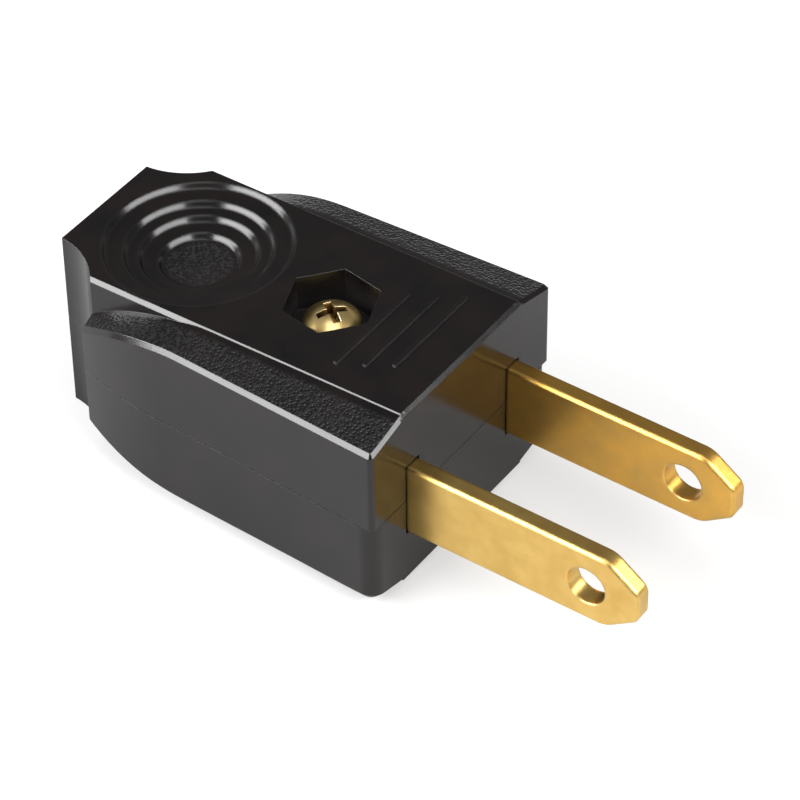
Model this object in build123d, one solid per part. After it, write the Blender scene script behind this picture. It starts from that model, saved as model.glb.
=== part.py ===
from build123d import *

import math
import os

os.makedirs("parts", exist_ok=True)

# Millimetres. x points out of the mating face along the blades, y across, z up.
# z = 0 is the parting plane of the two shells and the middle of each blade's width.
# A name that ends in back is a distance behind the mating face, and one that ends in
# half is measured across from the middle.

# Clearances
slide_fit = 0.1
loose_fit = 0.15
seat_gap = 0.05

# Blades
blade_spacing = 12.7
blade_width = 6.35
blade_thickness = 1.5
blade_reach = 19.5
blade_hole_diameter = 3.175
blade_hole_from_tip = 4.3
nose_length = 2.7
nose_height = 2.5
nose_tip_round = 1.0
nose_shoulder_round = 2.0
blade_edge_bevel = 0.2

# Outer form
body_length = 32.4
spine_front_half = 7.6
spine_rear_half = 7.7
tail_half = 5.1
scallop_length = 4.7
scallop_middle_length = 2.5
scallop_middle_half = 5.8
wing_front_half = 11.3
wing_bend_half = 10.4
wing_end_half = 9.0
wing_bend_length = 12.4
shoulder_overlap = 0.6
shoulder_overreach = 0.7
shoulder_bend_length = 15.4
shoulder_edge_bend_length = 14.4
cover_height = 8.4
cover_tail_height = 7.7
cover_wing_front = 7.3
cover_wing_bend = 7.15
cover_wing_end = 3.9
cover_shoulder_end = 4.9
cover_edge_bevel = 0.3
cover_corner_round = 0.4
base_height = 8.2
base_tail_height = 8.2
base_wing_front = 7.2
base_wing_bend = 7.5
base_wing_end = 5.7
base_shoulder_end = 6.3
base_edge_bevel = 0.6
base_corner_round = 1.2
parting_bevel = 0.1

# Walls and inner features of the shells
wall = 1.5
front_wall = 2.6
rear_wall = 6.4
cover_cavity = 4.4
base_cavity = 5.8
cavity_taper_length = 7.5
cavity_end_half = 4.4
barrier_thickness = 1.4
boss_diameter = 6.8
seat_floor = 0.9
peg_diameter = 1.9
peg_height = 1.4
peg_from_tail = 7.5
peg_half = 6.9
cord_hole_width = 7.2
cord_hole_height = 4.4
cord_hole_bevel = 0.6
grip_groove_width = 1.3
grip_groove_depth = 0.6
grip_groove_spacing = 2.6

# Assembly screw and its nut
screw_back = 11.5
screw_diameter = 3.0
screw_head_diameter = 4.6
screw_head_height = 1.9
screw_head_sink = 1.25
screw_head_round = 0.45
recess_flats = 6.4
recess_turn = 20
nut_flats = 5.5
nut_height = 1.8
nut_sink = 0.3
nut_bevel = 0.35
drive_width = 0.8
drive_length = 3.2
drive_depth = 0.9
drive_turn = 35
thread_lead_in = 0.3

# Terminals
washer_thickness = 0.6
washer_corner_round = 0.3
boss_gap = 0.45
plate_margin = 0.05
plate_corner_round = 0.8
fold_length = 3.9
fold_round = 0.5
fold_relief = 0.6
washer_setback = 1.5
plate_tail = 0.5
terminal_screw_diameter = 3.0
terminal_screw_reach = 2.3
terminal_head_height = 1.8
terminal_head_bevel = 0.35
terminal_head_inset = 0.2
terminal_slot_width = 0.8
terminal_slot_depth = 0.9
screw_tip_room = 0.3
stop_length = 1.3
hold_post_gap = 0.3
hold_post_width = 1.2

# Thumb dish and raised rules on the cover
dish_from_tail = 8.8
dish_radii = (7.2, 5.65, 4.5, 3.1)
dish_step = 0.4
dish_step_run = 0.3
dish_fall = 0.12
rule_width = 0.3
rule_height = 0.15
rule_backs = (3.55, 5.35, 7.25)
rule_starts = (-3.5, -4.6, -5.5)
rule_length = 9.15

# Places that follow from the sizes above
blade_half = blade_spacing / 2
scallop_start = body_length - scallop_length
wing_bend = body_length - wing_bend_length
shoulder_root_half = spine_front_half - shoulder_overlap
shoulder_reach_half = max(wing_front_half, wing_bend_half) + shoulder_overreach
shoulder_bend = body_length - shoulder_bend_length
shoulder_edge_bend = body_length - shoulder_edge_bend_length
cavity_end = body_length - rear_wall
cavity_taper_start = cavity_end - cavity_taper_length
dish_back = body_length - dish_from_tail
washer_side = 2 * (blade_half - boss_diameter / 2 - boss_gap)
plate_half_width = washer_side / 2 + plate_margin
plate_inner = blade_half - plate_half_width
plate_outer = blade_half + plate_half_width
plate_bottom = -blade_width / 2
plate_top = plate_bottom + blade_thickness
plate_front = front_wall + slide_fit
web_rear = plate_front + fold_length
plate_step = web_rear + fold_relief
terminal_back = plate_step + washer_setback + washer_side / 2
plate_rear = terminal_back + washer_side / 2 + plate_tail
terminal_head_seat = plate_top + washer_thickness
terminal_screw_end = plate_bottom - terminal_screw_reach
nut_seat = -base_height + nut_sink + nut_height


def flat_height(back, height, tail_height):
    """Height of a half's flat at a distance behind the mating face."""
    return height + (tail_height - height) * back / body_length


screw_head_top = flat_height(screw_back, cover_height, cover_tail_height) - screw_head_sink
screw_seat = screw_head_top - screw_head_height


def flipped(point):
    return (point[0], -point[1])


def box(x_range, y_range, z_range):
    """Block between two values on each axis, in any order."""
    spans = [sorted(span) for span in (x_range, y_range, z_range)]
    size = [high - low for low, high in spans]
    middle = [(high + low) / 2 for low, high in spans]
    return Pos(*middle) * Box(*size)


def upright_cylinder(back, side, radius, z_range):
    low, high = sorted(z_range)
    return Pos(-back, side, (low + high) / 2) * Cylinder(radius, high - low)


def upright_hexagon(back, side, flats, z_range, turn=0):
    """Hexagonal prism; without a turn two of its corners lie on a line across the body."""
    low, high = sorted(z_range)
    outline = RegularPolygon(flats / 2, 6, major_radius=False, rotation=90 + turn)
    outline = Pos(-back, side, low) * outline
    return extrude(outline, amount=high - low)


def spine_plan():
    """Plan of the middle block, with a concave scallop at each rear corner."""
    front = (0, spine_front_half)
    side = (-scallop_start, spine_rear_half)
    middle = (-body_length + scallop_middle_length, scallop_middle_half)
    tail = (-body_length, tail_half)
    return make_face([
        Line(flipped(front), front),
        Line(front, side),
        ThreePointArc(side, middle, tail),
        Line(tail, flipped(tail)),
        ThreePointArc(flipped(tail), flipped(middle), flipped(side)),
        Line(flipped(side), flipped(front)),
    ])


def wing_plan():
    """Plan of the side wings: nearly straight, then curving in to the scallops."""
    front = (0, wing_front_half)
    bend = (-wing_bend, wing_bend_half)
    end = (-scallop_start, wing_end_half)
    direction = (bend[0] - front[0], bend[1] - front[1])
    upper = TangentArc(bend, end, tangent=direction)
    return make_face([
        Line(flipped(front), front),
        Line(front, bend),
        upper,
        Line(end, flipped(end)),
        upper.mirror(Plane.XZ),
        Line(flipped(bend), flipped(front)),
    ])


def shoulder_profile(side, front_height, bend_back, bend_height, end_height):
    """Side view of a wing at one distance across: a long line that rolls down at the rear."""
    front = (0, side, front_height)
    bend = (-bend_back, side, bend_height)
    end = (-scallop_start, side, end_height)
    direction = (bend[0] - front[0], 0, bend[2] - front[2])
    return Wire([
        Line((0, side, 0), front),
        Line(front, bend),
        TangentArc(bend, end, tangent=direction),
        Line(end, (-scallop_start, side, 0)),
        Line((-scallop_start, side, 0), (0, side, 0)),
    ])


def on_rim(edge, wings):
    """Whether an edge joins a wing's shoulder to its upright outer or front face."""
    middle = edge.position_at(0.5)
    inside = abs(middle.Y) < shoulder_root_half + seat_gap or middle.X < -scallop_start + seat_gap
    if inside or middle.Z < seat_gap or abs(edge.tangent_at(0.5).Z) > 0.9:
        return False
    touching = [face for face in wings.faces() if face.distance_to(middle) < 1e-4]
    upright = [face for face in touching if abs(face.normal_at(middle).Z) < 0.01]
    return len(touching) == 2 and len(upright) == 1


def carried_out(root, edge, edge_half):
    """Height that a shoulder through its root and its edge has out at the reach."""
    share = (shoulder_reach_half - shoulder_root_half) / (edge_half - shoulder_root_half)
    return root + (edge - root) * share


def outer_form(height, tail_height, edge_front, edge_bend, edge_end, shoulder_end, edge_bevel,
               corner_round):
    """One half of the body, filled, above the parting plane."""
    tall = max(height, tail_height) + wall
    side_view = Plane.XZ * Polygon(
        (0, 0), (0, height), (-body_length, tail_height), (-body_length, 0), align=None
    )
    slab = extrude(side_view, amount=shoulder_reach_half, both=True)
    spine = extrude(spine_plan(), amount=tall) & slab
    rims = spine.faces().sort_by(Axis.Z)[-1].edges()
    rims = rims.filter_by(lambda e: e.center().X > -scallop_start and e.length > tail_half)
    spine = chamfer(rims, edge_bevel)

    root = (height, shoulder_bend, flat_height(shoulder_bend, height, tail_height), shoulder_end)
    root_at_edge_bend = flat_height(shoulder_edge_bend, height, tail_height)
    edge = (
        carried_out(height, edge_front, wing_front_half),
        shoulder_edge_bend,
        carried_out(root_at_edge_bend, edge_bend, wing_bend_half),
        carried_out(shoulder_end, edge_end, wing_end_half),
    )
    sides = []
    for sign in (1, -1):
        inner = shoulder_profile(sign * shoulder_root_half, *root)
        outer = shoulder_profile(sign * shoulder_reach_half, *edge)
        sides.append(Solid.make_loft([inner, outer], ruled=True))
    core = box((-scallop_start, 0), (-shoulder_root_half, shoulder_root_half), (0, edge_end))
    wings = (sides[0] + sides[1] + core) & extrude(wing_plan(), amount=tall)
    upright = wings.edges().filter_by(Axis.Z).group_by(Axis.X)[-1]
    upright = upright.filter_by(lambda e: abs(e.center().Y) > wing_end_half)
    wings = fillet(upright, corner_round)
    wings = chamfer([edge for edge in wings.edges() if on_rim(edge, wings)], edge_bevel)
    return spine + wings


def cavity_plan():
    """Plan of the wiring space: parallel to the wings, then narrowing towards the cord hole."""
    slope = (wing_bend_half - wing_front_half) / wing_bend
    front = (-front_wall, wing_front_half + slope * front_wall - wall)
    taper = (-cavity_taper_start, wing_front_half + slope * cavity_taper_start - wall)
    end = (-cavity_end, cavity_end_half)
    return make_face(Polyline(
        front, taper, end, flipped(end), flipped(taper), flipped(front), close=True
    ))


def cord_hole():
    """Flat-sided hole through the rear wall, with grip grooves and a bevelled mouth."""
    across = Plane.YZ * SlotOverall(cord_hole_width, cord_hole_height)
    hole = Pos(-body_length, 0, 0) * extrude(across, amount=rear_wall)
    grown = 2 * grip_groove_depth
    groove_outline = Plane.YZ * SlotOverall(cord_hole_width + grown, cord_hole_height + grown)
    groove = extrude(groove_outline, amount=grip_groove_width / 2, both=True)
    middle = body_length - rear_wall / 2
    for offset in (-grip_groove_spacing / 2, grip_groove_spacing / 2):
        hole += Pos(-middle + offset, 0, 0) * groove
    mouth_growth = 2 * cord_hole_bevel
    mouth = Plane.YZ * SlotOverall(cord_hole_width + mouth_growth, cord_hole_height + mouth_growth)
    throat = Pos(-body_length + cord_hole_bevel, 0, 0) * across
    return hole + loft([Pos(-body_length, 0, 0) * mouth, throat])


def blade_slot(side):
    """Opening through the front wall that a blade stands in."""
    half_thick = blade_thickness / 2 + slide_fit
    half_wide = blade_width / 2 + slide_fit
    return box((-front_wall - slide_fit, slide_fit), (side - half_thick, side + half_thick),
               (-half_wide, half_wide))


def terminal_bay(sign):
    """Room round a terminal plate, its washer and its screw, between floor and ceiling."""
    plates = box((-plate_rear - slide_fit, -plate_front + slide_fit),
                 (sign * (plate_inner - slide_fit), sign * (plate_outer + slide_fit)),
                 (-base_cavity, cover_cavity))
    tip = upright_cylinder(terminal_back, sign * blade_half,
                           terminal_screw_diameter / 2 + screw_tip_room,
                           (terminal_screw_end - screw_tip_room, 0))
    return plates + tip


def screw_hole():
    return upright_cylinder(screw_back, 0, screw_diameter / 2 + loose_fit,
                            (-base_height, cover_height))


def boss_and_barrier(ceiling):
    """Middle boss round the screw and the rib that keeps the two conductors apart."""
    boss = upright_cylinder(screw_back, 0, boss_diameter / 2, (0, ceiling))
    half = barrier_thickness / 2
    return boss + box((-screw_back, -front_wall), (-half, half), (0, ceiling))


def hexagon_corner(flats):
    return flats / 2 / math.cos(math.pi / 6)


def dish_profile():
    """Half section of the thumb dish: a sloping step at each radius, floors that fall inwards."""
    height = 0
    points = [(0, wall), (dish_radii[0], wall), (dish_radii[0], 0)]
    for outer, inner in zip(dish_radii, dish_radii[1:] + (0,)):
        height -= dish_step
        points.append((outer - dish_step_run, height))
        height -= dish_fall * (outer - dish_step_run - inner)
        points.append((inner, height))
    return Plane.XZ * make_face(Polyline(*points, close=True))


def dish_depth():
    return dish_step * len(dish_radii) + dish_fall * dish_radii[0]


def cover_slope():
    """Tilt of the cover's flat, in degrees about the y axis."""
    return math.degrees(math.atan2(cover_tail_height - cover_height, body_length))


def thumb_dish():
    height = flat_height(dish_back, cover_height, cover_tail_height)
    return Pos(-dish_back, 0, height) * Rot(0, cover_slope(), 0) * revolve(dish_profile(), Axis.Z)


def raised_rules():
    """Three fine staggered ridges across the flat, ahead of the screw."""
    rules = []
    for back, start in zip(rule_backs, rule_starts):
        height = flat_height(back, cover_height, cover_tail_height)
        rules.append(box((-back - rule_width / 2, -back + rule_width / 2),
                         (start, start + rule_length),
                         (height - rule_height, height + rule_height)))
    return rules


def cover_shell():
    """Upper half: screw recess, thumb dish, hold-down posts and the peg holes."""
    shell = outer_form(cover_height, cover_tail_height, cover_wing_front, cover_wing_bend,
                       cover_wing_end, cover_shoulder_end, cover_edge_bevel, cover_corner_round)
    shell = chamfer(shell.faces().sort_by(Axis.Z)[0].edges(), parting_bevel)
    dish_floor = flat_height(dish_back, cover_height, cover_tail_height) - dish_depth()
    dish_front = dish_back - dish_radii[0]
    room = extrude(cavity_plan(), amount=cover_cavity)
    low_ceiling = min(cover_cavity, dish_floor - wall)
    room -= box((-body_length, -dish_front), (-wing_front_half, wing_front_half),
                (low_ceiling, cover_cavity + wall))
    shell -= room
    for sign in (1, -1):
        shell -= terminal_bay(sign) & box((-body_length, 0), (-wing_front_half, wing_front_half),
                                          (0, cover_cavity))
    shell += boss_and_barrier(cover_cavity)
    seat_pad = hexagon_corner(recess_flats) + seat_floor
    shell += upright_cylinder(screw_back, 0, seat_pad, (screw_seat - seat_floor, screw_seat))
    for sign in (1, -1):
        inner = blade_half + blade_thickness / 2 + hold_post_gap
        shell += box((-web_rear, -plate_front - slide_fit),
                     (sign * inner, sign * (inner + hold_post_width)),
                     (plate_top + seat_gap, cover_cavity))
        shell -= blade_slot(sign * blade_half)
        shell -= upright_cylinder(body_length - peg_from_tail, sign * peg_half,
                                  peg_diameter / 2 + slide_fit, (0, peg_height + slide_fit))
    shell -= screw_hole()
    shell -= upright_hexagon(screw_back, 0, recess_flats, (screw_seat, cover_height + wall),
                             recess_turn)
    shell -= thumb_dish()
    for rule in raised_rules():
        shell += rule
    return shell - cord_hole()


def base_shell():
    """Lower half: ledges and stops for the terminal plates, nut pocket and locating pegs."""
    upper = outer_form(base_height, base_tail_height, base_wing_front, base_wing_bend,
                       base_wing_end, base_shoulder_end, base_edge_bevel, base_corner_round)
    upper -= extrude(cavity_plan(), amount=base_cavity)
    upper += boss_and_barrier(base_cavity)
    shell = upper.mirror(Plane.XY)
    nut_pad = hexagon_corner(nut_flats) + slide_fit + seat_floor
    shell += upright_cylinder(screw_back, 0, nut_pad, (nut_seat, nut_seat + seat_floor))
    ledge_front = terminal_back + terminal_screw_diameter / 2 + slide_fit
    stop_front = plate_rear + slide_fit
    outer = plate_outer + slide_fit
    for sign in (1, -1):
        shell -= terminal_bay(sign) & box((-body_length, 0), (-wing_front_half, wing_front_half),
                                          (-base_height, 0))
        across = (sign * plate_inner, sign * outer)
        fold_inner = sign * (blade_half - blade_thickness / 2)
        shell += box((-web_rear, -front_wall), (fold_inner, sign * outer),
                     (-base_cavity, plate_bottom))
        shell += box((-stop_front - stop_length, -ledge_front), across,
                     (-base_cavity, plate_bottom))
        shell += box((-stop_front - stop_length, -stop_front), across, (plate_bottom, plate_top))
        shell -= blade_slot(sign * blade_half)
        shell += upright_cylinder(body_length - peg_from_tail, sign * peg_half, peg_diameter / 2,
                                  (-peg_height, peg_height))
    shell -= screw_hole()
    shell -= upright_hexagon(screw_back, 0, nut_flats + 2 * slide_fit,
                             (-base_height - wall, nut_seat))
    return shell - cord_hole()


def blade_strip():
    """The part of a blade that stands in the wall and reaches out, with its bevelled nose."""
    half = blade_width / 2
    outline = Plane.XZ * Polygon(
        (-plate_front, -half),
        (blade_reach - nose_length, -half),
        (blade_reach, -nose_height / 2),
        (blade_reach, nose_height / 2),
        (blade_reach - nose_length, half),
        (-plate_front, half),
        align=None,
    )
    by_reach = outline.vertices().group_by(Axis.X)
    outline = fillet(by_reach[-1], nose_tip_round)
    shoulders = outline.vertices().filter_by(
        lambda v: abs(abs(v.Z) - half) < seat_gap and v.X > 0
    )
    outline = fillet(shoulders, nose_shoulder_round)
    strip = extrude(outline, amount=blade_thickness / 2, both=True)
    rims = strip.edges().filter_by(
        lambda e: abs(abs(e.center().Y) - blade_thickness / 2) < 1e-4
        and e.center().X > -plate_front + seat_gap
    )
    return chamfer(rims, blade_edge_bevel)


def blade():
    """One blade and its terminal plate, cut and folded from one brass strip."""
    strip = blade_strip()
    half_thick = blade_thickness / 2
    outer = plate_outer - blade_half
    section = Polygon(
        (-half_thick, blade_width / 2),
        (half_thick, blade_width / 2),
        (half_thick, plate_top),
        (outer, plate_top),
        (outer, plate_bottom),
        (-half_thick, plate_bottom),
        align=None,
    )
    section = fillet(section.vertices().filter_by(
        lambda v: abs(v.X - half_thick) + abs(v.Y - plate_top) < 1e-4), fold_round)
    section = fillet(section.vertices().filter_by(
        lambda v: abs(v.X + half_thick) + abs(v.Y - plate_bottom) < 1e-4),
        fold_round + blade_thickness)
    fold = extrude(Plane.YZ * section, amount=fold_length, dir=(1, 0, 0))
    fold = Pos(-web_rear, 0, 0) * fold
    neck = box((-plate_step, -web_rear), (half_thick + fold_round, outer),
               (plate_bottom, plate_top))
    plate = box((-plate_rear, -plate_step), (-plate_half_width, outer),
                (plate_bottom, plate_top))
    plate = fillet(plate.edges().filter_by(Axis.Z).group_by(Axis.X)[0], plate_corner_round)
    body = strip + fold + neck + plate
    hole = Pos(blade_reach - blade_hole_from_tip, 0, 0) * Rot(90, 0, 0) * Cylinder(
        blade_hole_diameter / 2, 2 * blade_thickness)
    thread = upright_cylinder(terminal_back, 0, terminal_screw_diameter / 2 + seat_gap,
                              (plate_bottom - wall, plate_top + wall))
    return body - hole - thread


def screw_head(diameter, height):
    """Plain round head that stands on z = 0."""
    return Pos(0, 0, height / 2) * Cylinder(diameter / 2, height)


def shank(diameter, length):
    """Bevelled shank that hangs from z = 0; its thread is too fine to model."""
    rod = Pos(0, 0, -length / 2) * Cylinder(diameter / 2, length)
    return chamfer(rod.edges().sort_by(Axis.Z)[0], thread_lead_in)


def assembly_screw():
    """Screw that clamps the two shells, with a cross slot in its head."""
    head = screw_head(screw_head_diameter, screw_head_height)
    head = fillet(head.edges().sort_by(Axis.Z)[-1], screw_head_round)
    screw = head + shank(screw_diameter, screw_seat - nut_seat + nut_height)
    slot_middle = screw_head_height - drive_depth / 2
    for turn in (drive_turn, drive_turn + 90):
        slot = Pos(0, 0, slot_middle) * Box(drive_length, drive_width, drive_depth)
        screw -= Rot(0, 0, turn) * slot
    return Pos(-screw_back, 0, screw_seat) * screw


def assembly_nut():
    """Hexagonal nut, bevelled at both ends, held from turning by the pocket in the base."""
    low = nut_seat - nut_height
    nut = upright_hexagon(screw_back, 0, nut_flats, (low, nut_seat))
    corner = hexagon_corner(nut_flats)
    turned = Pos(-screw_back, 0, low + nut_height / 2) * Cylinder(corner, nut_height)
    nut &= chamfer(turned.edges().filter_by(GeomType.CIRCLE), nut_bevel)
    return nut - upright_cylinder(screw_back, 0, screw_diameter / 2 + seat_gap,
                                  (low - wall, nut_seat + wall))


def terminal_screw(sign):
    """Slotted screw that clamps a wire under the square washer."""
    head_diameter = washer_side - 2 * terminal_head_inset
    head = screw_head(head_diameter, terminal_head_height)
    head = chamfer(head.edges().sort_by(Axis.Z)[-1], terminal_head_bevel)
    screw = head + shank(terminal_screw_diameter, terminal_head_seat - terminal_screw_end)
    slot_middle = terminal_head_height - terminal_slot_depth / 2
    screw -= Pos(0, 0, slot_middle) * Box(head_diameter, terminal_slot_width, terminal_slot_depth)
    return Pos(-terminal_back, sign * blade_half, terminal_head_seat) * screw


def wire_washer(sign):
    square = box((-washer_side / 2, washer_side / 2), (-washer_side / 2, washer_side / 2),
                 (plate_top, terminal_head_seat))
    square = fillet(square.edges().filter_by(Axis.Z), washer_corner_round)
    square = Pos(-terminal_back, sign * blade_half, 0) * square
    return square - upright_cylinder(terminal_back, sign * blade_half,
                                     terminal_screw_diameter / 2 + loose_fit,
                                     (plate_top - wall, terminal_head_seat + wall))


left_blade = Pos(0, blade_half, 0) * blade()
pieces = {
    "cover_shell": cover_shell(),
    "base_shell": base_shell(),
    "blade_left": left_blade,
    "blade_right": left_blade.mirror(Plane.XZ),
    "assembly_screw": assembly_screw(),
    "assembly_nut": assembly_nut(),
}
for side_name, sign in (("left", 1), ("right", -1)):
    pieces["terminal_screw_" + side_name] = terminal_screw(sign)
    pieces["wire_washer_" + side_name] = wire_washer(sign)

for name, shape in pieces.items():
    export_step(shape, "parts/" + name + ".step")
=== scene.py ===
import math

import bpy
from mathutils import Matrix, Quaternion, Vector


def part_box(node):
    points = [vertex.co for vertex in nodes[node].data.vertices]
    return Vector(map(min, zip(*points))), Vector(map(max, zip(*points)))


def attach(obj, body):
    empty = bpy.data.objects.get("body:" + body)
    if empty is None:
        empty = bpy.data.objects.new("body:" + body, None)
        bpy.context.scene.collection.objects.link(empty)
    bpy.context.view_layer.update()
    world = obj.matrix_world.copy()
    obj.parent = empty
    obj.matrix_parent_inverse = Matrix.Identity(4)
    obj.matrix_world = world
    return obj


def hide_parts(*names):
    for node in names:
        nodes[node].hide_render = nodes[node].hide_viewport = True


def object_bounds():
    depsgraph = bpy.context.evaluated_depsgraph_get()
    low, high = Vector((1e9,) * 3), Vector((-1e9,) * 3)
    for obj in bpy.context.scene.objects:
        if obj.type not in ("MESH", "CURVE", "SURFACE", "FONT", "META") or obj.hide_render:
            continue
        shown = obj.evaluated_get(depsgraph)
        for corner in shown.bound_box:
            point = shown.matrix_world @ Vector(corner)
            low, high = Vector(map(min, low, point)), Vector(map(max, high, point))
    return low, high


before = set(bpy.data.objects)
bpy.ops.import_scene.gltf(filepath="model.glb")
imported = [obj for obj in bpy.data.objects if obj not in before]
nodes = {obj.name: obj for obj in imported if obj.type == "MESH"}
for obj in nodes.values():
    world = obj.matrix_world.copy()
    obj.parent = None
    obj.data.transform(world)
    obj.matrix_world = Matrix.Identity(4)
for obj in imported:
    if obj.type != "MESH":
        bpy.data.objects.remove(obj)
cadLow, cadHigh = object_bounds()
bpy.ops.object.select_all(action="DESELECT")
mm = 0.001


def outward(turn, height):
    # direction from the plug towards a camera or lamp, by its turn and height in degrees
    turn, height = math.radians(turn), math.radians(height)
    return Vector((math.sin(turn) * math.cos(height), -math.cos(turn) * math.cos(height), math.sin(height)))


# camera, set to the view of the photograph

cameraSet = {
    "turn": 35.5,
    "height": 42.2,
    "roll": -0.68,
    "distance": 280,
    "pixelsPerMm": 13.82,
    "faceCentre": (462.9, 444.7),  # pixel where the middle of the mating face lies
    "imageSize": 800,
    "sensor": 36,
    "clipStart": 0.01,
}


def placeCamera(s):
    turn, roll = math.radians(s["turn"]), math.radians(s["roll"])
    back = outward(s["turn"], s["height"])
    level = Vector((math.cos(turn), math.sin(turn), 0))
    upward = back.cross(level)
    right = math.cos(roll) * level + math.sin(roll) * upward
    up = -math.sin(roll) * level + math.cos(roll) * upward
    middle = s["imageSize"] / 2
    across = (s["faceCentre"][0] - middle) / s["pixelsPerMm"]
    down = (s["faceCentre"][1] - middle) / s["pixelsPerMm"]
    place = (s["distance"] * back - across * right + down * up) * mm
    bpy.ops.object.camera_add()
    camera = bpy.context.object
    camera.name = "photoCamera"
    camera.matrix_world = Matrix.Translation(place) @ Matrix((right, up, back)).transposed().to_4x4()
    camera.data.sensor_width = s["sensor"]
    camera.data.lens = s["sensor"] * s["pixelsPerMm"] * s["distance"] / s["imageSize"]
    camera.data.clip_start = s["clipStart"]
    bpy.context.scene.camera = camera


placeCamera(cameraSet)
print("camera placed")


# nodes of materials and of the sky

def newTree(name, kind="material"):
    data = bpy.data.materials.new(name) if kind == "material" else bpy.data.worlds.new(name)
    data.use_nodes = True
    data.node_tree.nodes.clear()
    return data, data.node_tree


def addNode(tree, kind, inputs=None, **settings):
    # an input is a number or colour, or the output of another node
    node = tree.nodes.new(kind)
    for key, value in settings.items():
        setattr(node, key, value)
    for key, value in (inputs or {}).items():
        if hasattr(value, "is_output"):
            tree.links.new(value, node.inputs[key])
        else:
            node.inputs[key].default_value = value
    return node


def reckon(tree, operation, *values, **settings):
    node = addNode(tree, "ShaderNodeMath", dict(enumerate(values)), operation=operation, **settings)
    return node.outputs[0]


def ramp(tree, value, low, high, start=0.0, end=1.0):
    # runs from low to high while the value runs from start to end
    node = addNode(tree, "ShaderNodeMapRange", {
        "Value": value, "From Min": start, "From Max": end, "To Min": low, "To Max": high})
    return node.outputs["Result"]


def mixColour(tree, factor, first, second):
    inputs = {"Factor": factor, 6: first, 7: second}  # sockets 6 and 7 are the two colours
    return addNode(tree, "ShaderNodeMix", inputs, data_type="RGBA").outputs[2]


# floor, background and light

stageSet = {
    "floorSize": 6.0,
    "floorColour": (0.43, 0.43, 0.43, 1),
    "floorLift": 0.34,  # added for the camera alone, to 1 far from the plug
    "shadowReach": (0.07, 0.26),
    "skyLight": 0.42,
    "skyInGloss": 0.18,
    "sky": (1, 1, 1, 1),
}


def buildFloor(s):
    material, tree = newTree("paleFloor")
    path = addNode(tree, "ShaderNodeLightPath")
    matte = addNode(tree, "ShaderNodeBsdfDiffuse", {"Color": s["floorColour"]})
    place = addNode(tree, "ShaderNodeTexCoord")
    away = addNode(tree, "ShaderNodeVectorMath", {0: place.outputs["Object"]}, operation="LENGTH")
    fade = ramp(tree, away.outputs["Value"], s["floorLift"], 1.0, *s["shadowReach"])
    lift = reckon(tree, "MULTIPLY", path.outputs["Is Camera Ray"], fade)
    glow = addNode(tree, "ShaderNodeEmission", {"Color": s["sky"], "Strength": lift})
    both = addNode(tree, "ShaderNodeAddShader", {0: matte.outputs[0], 1: glow.outputs[0]})
    addNode(tree, "ShaderNodeOutputMaterial", {"Surface": both.outputs[0]})
    bpy.ops.mesh.primitive_plane_add(size=s["floorSize"], location=(0, 0, cadLow.z))
    floor = bpy.context.object
    floor.name = "floor"
    floor.data.materials.append(material)


def buildSky(s):
    # the sky lights the scene softly, is dimmer in reflections and shows white to the camera
    world, tree = newTree("softSky", "world")
    path = addNode(tree, "ShaderNodeLightPath")
    soft, dim, white = [
        addNode(tree, "ShaderNodeBackground", {"Color": s["sky"], "Strength": strength}).outputs[0]
        for strength in (s["skyLight"], s["skyInGloss"], 1)
    ]
    seen = addNode(tree, "ShaderNodeMixShader", {0: path.outputs["Is Glossy Ray"], 1: soft, 2: dim})
    shown = addNode(tree, "ShaderNodeMixShader", {
        0: path.outputs["Is Camera Ray"], 1: seen.outputs[0], 2: white})
    addNode(tree, "ShaderNodeOutputWorld", {"Surface": shown.outputs[0]})
    bpy.context.scene.world = world


lampSet = [
    {"name": "leftPanel", "turn": -44, "height": 29, "roll": 12, "distance": 0.50,
     "size": (0.60, 0.22), "power": 5.9},
    {"name": "rightPanel", "turn": 95, "height": 40, "roll": -12, "distance": 0.50,
     "size": (0.58, 0.20), "power": 3.9},
    {"name": "topPanel", "turn": 35, "height": 84, "roll": 0, "distance": 0.50,
     "size": (0.28, 0.28), "power": 0.6},
]


def hangLamp(s):
    direction = outward(s["turn"], s["height"])
    bpy.ops.object.light_add(type="AREA")
    lamp = bpy.context.object
    lamp.name = s["name"]
    lamp.data.shape = "RECTANGLE"
    lamp.data.size, lamp.data.size_y = s["size"]
    lamp.data.energy = s["power"]
    lamp.location = direction * s["distance"]
    lamp.rotation_mode = "QUATERNION"
    roll = Quaternion((0, 0, 1), math.radians(s["roll"]))
    lamp.rotation_quaternion = direction.to_track_quat("Z", "Y") @ roll


buildFloor(stageSet)
buildSky(stageSet)
for lamp in lampSet:
    hangLamp(lamp)
print("floor, sky and lamps set")


# shader groups that plastic and brass share

def newGroup(name, inputs, outputs):
    tree = bpy.data.node_groups.new(name, "ShaderNodeTree")
    for kind, names in (("INPUT", inputs), ("OUTPUT", outputs)):
        for label, socket in names.items():
            tree.interface.new_socket(name=label, in_out=kind, socket_type=socket)
    return tree, tree.nodes.new("NodeGroupInput"), tree.nodes.new("NodeGroupOutput")


def useGroup(tree, group, inputs):
    return addNode(tree, "ShaderNodeGroup", inputs, node_tree=group)


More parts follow.
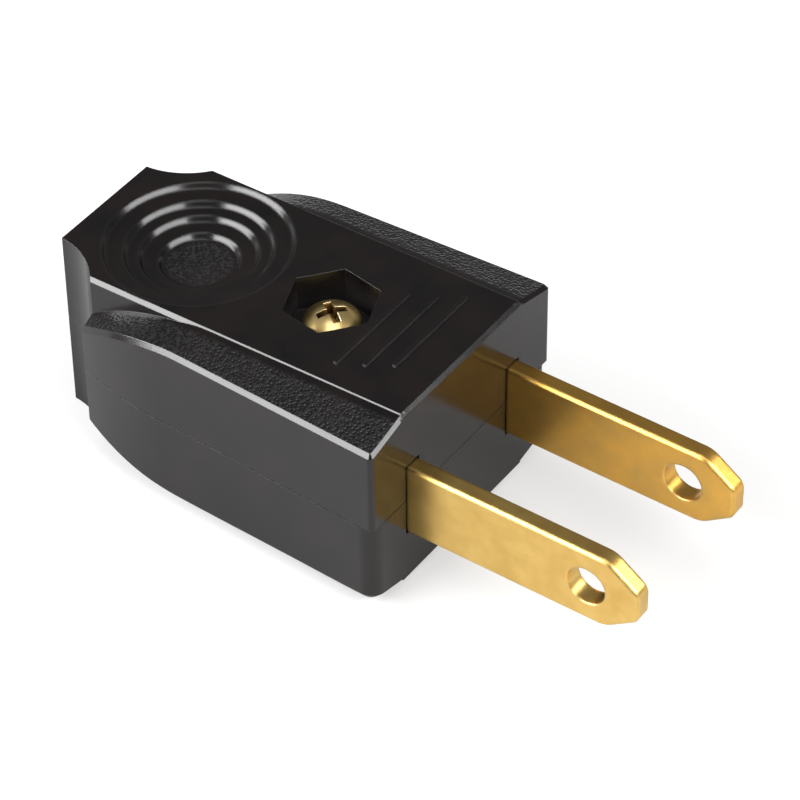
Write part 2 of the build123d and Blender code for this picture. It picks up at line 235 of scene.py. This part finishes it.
def edgeGroup():
    # a normal that rounds the edges, and a mask that is 0 on a face and 1 on an edge
    tree, given, out = newGroup("roundedEdge", {"Width": "NodeSocketFloat", "Gain": "NodeSocketFloat"},
                                {"Mask": "NodeSocketFloat", "Normal": "NodeSocketVector"})
    rounded = addNode(tree, "ShaderNodeBevel", {"Radius": given.outputs["Width"]}, samples=6)
    shape = addNode(tree, "ShaderNodeNewGeometry")
    likeness = addNode(tree, "ShaderNodeVectorMath", {0: rounded.outputs[0], 1: shape.outputs["True Normal"]},
                       operation="DOT_PRODUCT")
    bend = reckon(tree, "SUBTRACT", 1.0, likeness.outputs["Value"])
    mask = reckon(tree, "MULTIPLY", bend, given.outputs["Gain"], use_clamp=True)
    tree.links.new(mask, out.inputs["Mask"])
    tree.links.new(rounded.outputs[0], out.inputs["Normal"])
    return tree


def grainGroup():
    # fine noise on the piece's own coordinates, stretched along one axis, and a slow blotch
    tree, given, out = newGroup(
        "fineGrain",
        {"Stretch": "NodeSocketVector", "Scale": "NodeSocketFloat", "Blotch Scale": "NodeSocketFloat"},
        {"Grain": "NodeSocketFloat", "Blotch": "NodeSocketFloat"},
    )
    place = addNode(tree, "ShaderNodeTexCoord")
    drawn = addNode(tree, "ShaderNodeVectorMath", {0: place.outputs["Object"], 1: given.outputs["Stretch"]},
                    operation="MULTIPLY")
    grain = addNode(tree, "ShaderNodeTexNoise", {
        "Vector": drawn.outputs[0], "Scale": given.outputs["Scale"], "Detail": 3.0, "Roughness": 0.6})
    blotch = addNode(tree, "ShaderNodeTexNoise", {
        "Vector": place.outputs["Object"], "Scale": given.outputs["Blotch Scale"], "Detail": 4.0})
    tree.links.new(grain.outputs["Fac"], out.inputs["Grain"])
    tree.links.new(blotch.outputs["Fac"], out.inputs["Blotch"])
    return tree


roundedEdge = edgeGroup()
fineGrain = grainGroup()


def bump(tree, height, distance, normal):
    inputs = {"Height": height, "Distance": distance, "Strength": 1.0, "Normal": normal}
    return addNode(tree, "ShaderNodeBump", inputs).outputs[0]


# glossy black moulded plastic, with lengths in metres

plasticSet = {
    "colour": (0.0016, 0.0015, 0.0018, 1),
    "warmColour": (0.0056, 0.0034, 0.0030, 1),
    # lighter grey for the edges, a painted highlight
    "edgeHighlightColour": (0.012, 0.012, 0.013, 1),
    "roughness": (0.13, 0.24),
    "refraction": 1.50,
    "grainScale": 3800,
    "grainHeight": 0.0000035,
    "blotchScale": 260,
    "blotchMix": (-0.6, 1.6),
    "edgeWidth": 0.00009,
    "edgeGain": 5.0,
    "nookReach": 0.0025,
    "nookRange": (0.75, 0.35),  # share of open sky where the matt begins and where it is full
    "nookRoughness": 0.40,
}
stippleSet = {
    "scale": 4000,
    "rise": (0.30, 0.75),
    "height": 0.000026,
    "colour": (0.012, 0.012, 0.013, 1),
    "bandInner": 0.0078,  # the shoulders have it from this far off the middle
    "bandFade": 0.0004,
    "levelRange": (0.75, 0.9),  # only faces that look up have it
}
dishSet = {
    "centre": (-0.0236, 0, 0),
    "radius": 0.0073,
    "rim": 0.0002,
    "edgeWidth": 0.00034,
    "floorRadius": 0.0027,
    "floorFade": 0.0003,
}


def stippleMask(tree, place, away):
    # 1 on the flat of the shoulders and on the floor of the dish
    parts = addNode(tree, "ShaderNodeSeparateXYZ", {0: place})
    across = reckon(tree, "ABSOLUTE", parts.outputs["Y"])
    inner, floor = stippleSet["bandInner"], dishSet["floorRadius"]
    band = ramp(tree, across, 0.0, 1.0, inner, inner + stippleSet["bandFade"])
    inDish = ramp(tree, away, 0.0, 1.0, floor, floor - dishSet["floorFade"])
    shape = addNode(tree, "ShaderNodeNewGeometry")
    facing = addNode(tree, "ShaderNodeSeparateXYZ", {0: shape.outputs["Normal"]})
    level = ramp(tree, facing.outputs["Z"], 0.0, 1.0, *stippleSet["levelRange"])
    return reckon(tree, "MULTIPLY", reckon(tree, "MAXIMUM", band, inDish), level)


def blackPlastic(s):
    material, tree = newTree("blackPlastic")
    place = addNode(tree, "ShaderNodeTexCoord").outputs["Object"]
    flat = addNode(tree, "ShaderNodeVectorMath", {0: place, 1: (1, 1, 0)}, operation="MULTIPLY")
    away = addNode(tree, "ShaderNodeVectorMath", {0: flat.outputs[0], 1: dishSet["centre"]},
                   operation="DISTANCE").outputs["Value"]
    rim = dishSet["radius"] + dishSet["rim"]
    width = ramp(tree, away, dishSet["edgeWidth"], s["edgeWidth"], dishSet["radius"], rim)
    edge = useGroup(tree, roundedEdge, {"Width": width, "Gain": s["edgeGain"]})
    grain = useGroup(tree, fineGrain, {
        "Stretch": (1, 1, 1), "Scale": s["grainScale"], "Blotch Scale": s["blotchScale"]})
    dots = addNode(tree, "ShaderNodeTexVoronoi", {"Vector": place, "Scale": stippleSet["scale"]})
    ridges = ramp(tree, dots.outputs["Distance"], 0.0, 1.0, *stippleSet["rise"])
    stipple = reckon(tree, "MULTIPLY", ridges, stippleMask(tree, place, away))

    body = mixColour(tree, ramp(tree, grain.outputs["Blotch"], *s["blotchMix"]), s["colour"], s["warmColour"])
    dotted = mixColour(tree, stipple, body, stippleSet["colour"])
    # painted highlight: the edges are given a lighter grey than the black body
    colour = mixColour(tree, edge.outputs["Mask"], dotted, s["edgeHighlightColour"])
    nook = addNode(tree, "ShaderNodeAmbientOcclusion", {"Distance": s["nookReach"]}, samples=4)
    matt = ramp(tree, nook.outputs["AO"], 0.0, s["nookRoughness"], *s["nookRange"])
    roughness = reckon(tree, "ADD", ramp(tree, grain.outputs["Blotch"], *s["roughness"]), matt)
    fine = bump(tree, grain.outputs["Grain"], s["grainHeight"], edge.outputs["Normal"])
    coarse = bump(tree, stipple, stippleSet["height"], fine)
    shader = addNode(tree, "ShaderNodeBsdfPrincipled", {
        "Base Color": colour, "Roughness": roughness, "IOR": s["refraction"], "Normal": coarse})
    addNode(tree, "ShaderNodeOutputMaterial", {"Surface": shader.outputs[0]})
    return material


# rolled brass of the blades and washers, turned brass of the screws and nut, with lengths in metres

rolledSheet = {
    "dark": (0.66, 0.400, 0.105, 1),
    # paler brass on the edges, a painted highlight
    "edge": (0.92, 0.66, 0.26, 1),
    # colour of the painted shade in slots and recesses
    "nookShade": (0.10, 0.060, 0.018, 1),
    "nookShadeReach": 0.0004,
    "stretch": (0.06, 1, 1),
    "grainScale": 9000,
    "grainHeight": 0.0000060,
    "blotchScale": 420,
    "roughness": (0.24, 0.38),
    "edgeWidth": 0.00030,
}
turnedRod = {
    "colour": (0.92, 0.70, 0.31, 1),
    "dark": (0.72, 0.50, 0.18, 1),
    # paler brass on the edges, a painted highlight
    "edge": (0.98, 0.84, 0.50, 1),
    # colour of the painted shade in the cross, slots and under the heads
    "nookShade": (0.07, 0.035, 0.008, 1),
    "nookShadeReach": 0.0008,
    "stretch": (1, 1, 0.2),
    "grainScale": 3600,
    "grainHeight": 0.0000010,
    "blotchScale": 700,
    "roughness": (0.24, 0.36),
    "edgeWidth": 0.00008,
}
wearSet = {
    "blotchMix": (-0.7, 1.4),
    "edgeGain": 4.0,
    "nookShadeRange": (0.25, 0.75),  # share of open sky where the painted shade is full and where it ends
}


def brass(name, s):
    material, tree = newTree(name)
    edge = useGroup(tree, roundedEdge, {"Width": s["edgeWidth"], "Gain": wearSet["edgeGain"]})
    grain = useGroup(tree, fineGrain, {
        "Stretch": s["stretch"], "Scale": s["grainScale"], "Blotch Scale": s["blotchScale"]})
    body = mixColour(tree, ramp(tree, grain.outputs["Blotch"], *wearSet["blotchMix"]), s["colour"], s["dark"])
    # painted highlight: the rounded edges are given a paler, brighter brass
    edgeHighlighted = mixColour(tree, edge.outputs["Mask"], body, s["edge"])
    # painted shade: ambient occlusion darkens the brass to deep brown in slots, recesses and under the heads
    nook = addNode(tree, "ShaderNodeAmbientOcclusion", {"Distance": s["nookShadeReach"]}, samples=6)
    clear = ramp(tree, nook.outputs["AO"], 0.0, 1.0, *wearSet["nookShadeRange"])
    colour = mixColour(tree, clear, s["nookShade"], edgeHighlighted)
    roughness = ramp(tree, grain.outputs["Grain"], *s["roughness"])
    fine = bump(tree, grain.outputs["Grain"], s["grainHeight"], edge.outputs["Normal"])
    shader = addNode(tree, "ShaderNodeBsdfPrincipled", {
        "Base Color": colour, "Roughness": roughness, "Metallic": 1.0, "Normal": fine})
    addNode(tree, "ShaderNodeOutputMaterial", {"Surface": shader.outputs[0]})
    return material


blackShell = blackPlastic(plasticSet)
# lit and shaded copies of the blade brass: the far blade's deeper, darker orange is painted shade for the
# dimmer reflections it gets between the blades
nearBrassLit = brass("nearBladeBrassLit", dict(rolledSheet, colour=(0.83, 0.565, 0.175, 1)))
farBrassShaded = brass("farBladeBrassShaded", dict(rolledSheet, colour=(0.87, 0.490, 0.100, 1)))
turnedBrass = brass("turnedBrass", turnedRod)
dressing = {
    "cover_shell": blackShell,
    "base_shell": blackShell,
    "blade_left": farBrassShaded,
    "blade_right": nearBrassLit,
    "wire_washer_left": farBrassShaded,
    "wire_washer_right": nearBrassLit,
}
for name, material in dressing.items():
    nodes[name].data.materials.clear()
    nodes[name].data.materials.append(material)
print("plastic and brass on the solids")


# modelling, with lengths in mm

meshSet = {
    "weldGap": 1e-6,  # metres
    "nearGap": 1e-7,
    "smoothAngle": 32,
}


def modelling(mode):
    bpy.ops.object.mode_set(mode=mode)


def pickOnly(piece):
    bpy.ops.object.select_all(action="DESELECT")
    piece.select_set(True)
    bpy.context.view_layer.objects.active = piece


def weld():
    # in edit mode: closes the seams and turns the faces outwards
    bpy.ops.mesh.select_all(action="SELECT")
    bpy.ops.mesh.remove_doubles(threshold=meshSet["weldGap"])
    bpy.ops.mesh.normals_make_consistent(inside=False)


def arc(centre, radius, start, end, count):
    turns = [math.radians(start + (end - start) * i / count) for i in range(count + 1)]
    return [(centre[0] + radius * math.cos(t), centre[1] + radius * math.sin(t)) for t in turns]


def pickStretch(piece, radius, low, high):
    near = meshSet["nearGap"]
    for vertex in piece.data.vertices:
        x, z = vertex.co.x, vertex.co.z
        vertex.select = low * mm - near <= z <= high * mm + near and abs(x - radius * mm) < near


def turned(name, profile, rows=(0, 0, ()), steps=64):
    # draws a profile of (radius, height) and spins it; rows gives a plain stretch's lower and upper end
    # and its cuts, each of which divides what the one before it left
    bpy.ops.mesh.primitive_plane_add(size=mm)
    piece = bpy.context.object
    piece.name = name
    modelling("EDIT")
    bpy.ops.mesh.select_mode(type="VERT")
    bpy.ops.mesh.merge(type="CENTER")
    last = Vector((0, 0, 0))
    for index, (radius, height) in enumerate(profile):
        point = Vector((radius, 0, height)) * mm
        if index:
            bpy.ops.mesh.extrude_vertices_move(TRANSFORM_OT_translate={"value": point - last})
        else:
            bpy.ops.transform.translate(value=point)
        last = point
    low, high, cuts = rows
    if cuts:
        modelling("OBJECT")
        pickStretch(piece, min(r for r, h in profile if low <= h <= high), low, high)
        modelling("EDIT")
        for count in cuts:
            bpy.ops.mesh.subdivide(number_cuts=count)
    bpy.ops.mesh.select_all(action="SELECT")
    bpy.ops.mesh.spin(steps=steps, angle=2 * math.pi, center=(0, 0, 0), axis=(0, 0, 1))
    weld()
    modelling("OBJECT")
    return piece


def combine(piece, tool, operation="DIFFERENCE"):
    pickOnly(piece)
    join = piece.modifiers.new("combine", "BOOLEAN")
    join.operation = operation
    join.solver = "EXACT"
    join.object = tool
    bpy.ops.object.modifier_apply(modifier=join.name)
    pickOnly(tool)
    bpy.ops.object.delete()
    pickOnly(piece)


def soften(piece, width, angle=35, segments=2):
    pickOnly(piece)
    bevel = piece.modifiers.new("soften", "BEVEL")
    bevel.width = width * mm
    bevel.segments = segments
    bevel.limit_method = "ANGLE"
    bevel.angle_limit = math.radians(angle)
    bevel.use_clamp_overlap = True
    bpy.ops.object.modifier_apply(modifier=bevel.name)


def cutter(size, middle, turn=0, foot=1):
    # block whose lower end may be narrower than its upper end
    bpy.ops.mesh.primitive_cube_add(size=mm)
    block = bpy.context.object
    modelling("EDIT")
    bpy.ops.transform.resize(value=size)
    if foot != 1:
        bpy.ops.mesh.select_mode(type="FACE")
        bpy.ops.mesh.select_all(action="DESELECT")
        modelling("OBJECT")
        for polygon in block.data.polygons:
            polygon.select = polygon.normal.z < -0.5
        modelling("EDIT")
        bpy.ops.transform.resize(value=(foot, foot, 1))
        bpy.ops.mesh.select_all(action="SELECT")
    if turn:
        bpy.ops.transform.rotate(value=math.radians(turn), orient_axis="Z", center_override=(0, 0, 0))
    bpy.ops.transform.translate(value=Vector(middle) * mm)
    modelling("OBJECT")
    return block


def settle(piece, place, node):
    # finishes a fastener that is drawn around its own axis, and puts it in its place
    pickOnly(piece)
    modelling("EDIT")
    weld()
    bpy.ops.transform.translate(value=Vector(place) * mm)
    modelling("OBJECT")
    bpy.ops.object.shade_smooth_by_angle(angle=math.radians(meshSet["smoothAngle"]))
    piece.data.materials.clear()
    piece.data.materials.append(turnedBrass)
    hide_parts(node)
    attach(piece, "root")
    piece.select_set(False)


# thread and shank, the same kind on each screw

shankSet = {
    "radius": 1.5,
    "leadIn": 0.3,
    "pitch": 0.5,
    "depth": 0.27,
    "steepness": 1.25,  # over 1 leaves the grooves a flat floor
    "reach": 0.02,  # how far off the plain radius a vertex may lie
}


def cutThread(piece, radius, start, stop):
    # moves the plain rows inwards along a helix, fading at both ends
    start, stop, radius = start * mm, stop * mm, radius * mm
    pitch, depth, reach = (shankSet[key] * mm for key in ("pitch", "depth", "reach"))
    for vertex in piece.data.vertices:
        here = vertex.co
        if start < here.z < stop and abs(math.hypot(here.x, here.y) - radius) < reach:
            phase = (here.z / pitch - math.atan2(here.y, here.x) / (2 * math.pi)) % 1
            fade = min(1, (here.z - start) / pitch, (stop - here.z) / pitch)
            wave = min(1, shankSet["steepness"] * (1 - abs(2 * phase - 1)))
            share = 1 - depth / radius * fade * wave
            here.x *= share
            here.y *= share


def belowHead(headRadius, bevel, end):
    # the lower part of a screw's profile, from the head's side to the tip
    radius, lead = shankSet["radius"], shankSet["leadIn"]
    return [
        (headRadius, bevel),
        (headRadius - bevel, 0),
        (radius, 0),
        (radius, end + lead),
        (radius - lead, end),
        (0, end),
    ]


def spanOf(node):
    low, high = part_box(node)
    return [round(length / mm, 3) for length in high - low]


def seatOf(node, headHeight):
    # middle of the underside of a screw's head
    low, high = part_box(node)
    return (low.x + high.x) / 2 / mm, (low.y + high.y) / 2 / mm, high.z / mm - headHeight


# screw that clamps the two halves, domed with a cross drive

clampSet = {
    "headRadius": 2.2,
    "headHeight": 1.9,
    "crownRise": 0.35,  # the dome stands this much above the solid's head
    "domeRadius": 3.2,
    "domeSteps": 12,
    "rimRound": 0.6,
    "rimSteps": 8,
    "underBevel": 0.10,
    "threadStart": -12.75,
    "threadStop": -1.1,
    "rows": (40, 4),
    "crossLength": 2.5,
    "crossWidth": 0.62,
    "crossHeight": 1.2,
    "crossAbove": 0.05,
    "crossFoot": 0.70,
    "crossTurn": 35,
    "softening": 0.05,
}
clampSeat = seatOf("assembly_screw", clampSet["headHeight"])
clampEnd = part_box("assembly_screw")[0].z / mm - clampSeat[2]


def clampHead(s):
    # dome arc and the rim arc that meets it without a corner
    top = s["headHeight"] + s["crownRise"]
    dome, rim, radius = s["domeRadius"], s["rimRound"], s["headRadius"]
    rimTurn = 90 - math.degrees(math.asin((radius - rim) / (dome - rim)))
    rimHeight = top - dome + math.sqrt((dome - rim) ** 2 - (radius - rim) ** 2)
    crown = arc((0, top - dome), dome, 90, rimTurn, s["domeSteps"])
    return crown + arc((radius - rim, rimHeight), rim, rimTurn, 0, s["rimSteps"])[1:]


def clampScrew(s):
    profile = clampHead(s) + belowHead(s["headRadius"], s["underBevel"], clampEnd)
    screw = turned("clampScrew", profile, (clampEnd + shankSet["leadIn"], 0, s["rows"]))
    middle = s["headHeight"] + s["crownRise"] - s["crossHeight"] / 2 + s["crossAbove"]
    for quarter in (0, 90):
        size = (s["crossLength"], s["crossWidth"], s["crossHeight"])
        combine(screw, cutter(size, (0, 0, middle), s["crossTurn"] + quarter, s["crossFoot"]))
    soften(screw, s["softening"])
    cutThread(screw, shankSet["radius"], s["threadStart"], s["threadStop"])
    settle(screw, clampSeat, "assembly_screw")


# nut in the base, held by a hexagonal pocket

nutSet = {
    "bevelAcross": 0.42,
    "bevelUp": 0.25,
    "outlineSteps": 96,
    "boreRadius": 1.55,
    "boreFlare": 1.85,
    "boreOver": 0.2,
    "rows": (26,),
}


def clampNut(s):
    flats, height = spanOf("assembly_nut")[0::2]
    corner = flats / 2 / math.cos(math.pi / 6)
    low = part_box("assembly_nut")[0].z / mm - clampSeat[2]
    high = low + height
    bpy.ops.mesh.primitive_cylinder_add(vertices=6, radius=corner * mm, depth=height * mm)
    nut = bpy.context.object
    nut.name = "clampNut"
    modelling("EDIT")
    bpy.ops.transform.translate(value=(0, 0, (low + high) / 2 * mm))
    modelling("OBJECT")

    shoulder, up = corner - s["bevelAcross"], s["bevelUp"]
    outline = [(0, low), (shoulder, low), (corner, low + up)]
    outline += [(corner, high - up), (shoulder, high), (0, high)]
    combine(nut, turned("nutOutline", outline, steps=s["outlineSteps"]), "INTERSECT")

    bore, flare, over = s["boreRadius"], s["boreFlare"], s["boreOver"]
    lead = flare - bore
    hole = [(0, low - over), (flare, low - over), (flare, low), (bore, low + lead)]
    hole += [(bore, high - lead), (flare, high), (flare, high + over), (0, high + over)]
    rod = turned("nutBore", hole, (low + lead, high - lead, s["rows"]))
    cutThread(rod, bore, max(low, clampSet["threadStart"]), high)
    combine(nut, rod)
    settle(nut, clampSeat, "assembly_nut")


# two slotted screws that clamp the wires

terminalSet = {
    "headHeight": 1.8,
    "edgeRound": 0.35,
    "edgeSteps": 6,
    "underBevel": 0.08,
    "slotWidth": 0.8,
    "slotDepth": 0.9,
    "slotAbove": 1.0,
    "slotTurns": {"terminal_screw_left": 64, "terminal_screw_right": -28},
    "threadStart": -4.25,
    "threadStop": -0.6,
    "rows": (65,),
    "softening": 0.05,
}


def terminalScrew(node, s, slotTurn):
    radius, top, edge = spanOf(node)[0] / 2, s["headHeight"], s["edgeRound"]
    end = round(top - spanOf(node)[2], 3)
    head = [(0, top)] + arc((radius - edge, top - edge), edge, 90, 0, s["edgeSteps"])
    profile = head + belowHead(radius, s["underBevel"], end)
    screw = turned(node + "Detailed", profile, (end + shankSet["leadIn"], 0, s["rows"]))
    size = (3 * radius, s["slotWidth"], s["slotDepth"] + s["slotAbove"])
    combine(screw, cutter(size, (0, 0, top + (s["slotAbove"] - s["slotDepth"]) / 2), slotTurn))
    soften(screw, s["softening"])
    cutThread(screw, shankSet["radius"], s["threadStart"], s["threadStop"])
    settle(screw, seatOf(node, top), node)


clampScrew(clampSet)
clampNut(nutSet)
for node, slotTurn in terminalSet["slotTurns"].items():
    terminalScrew(node, terminalSet, slotTurn)
print("screws and nut made")


bpy.context.scene.view_settings.view_transform = "Standard"
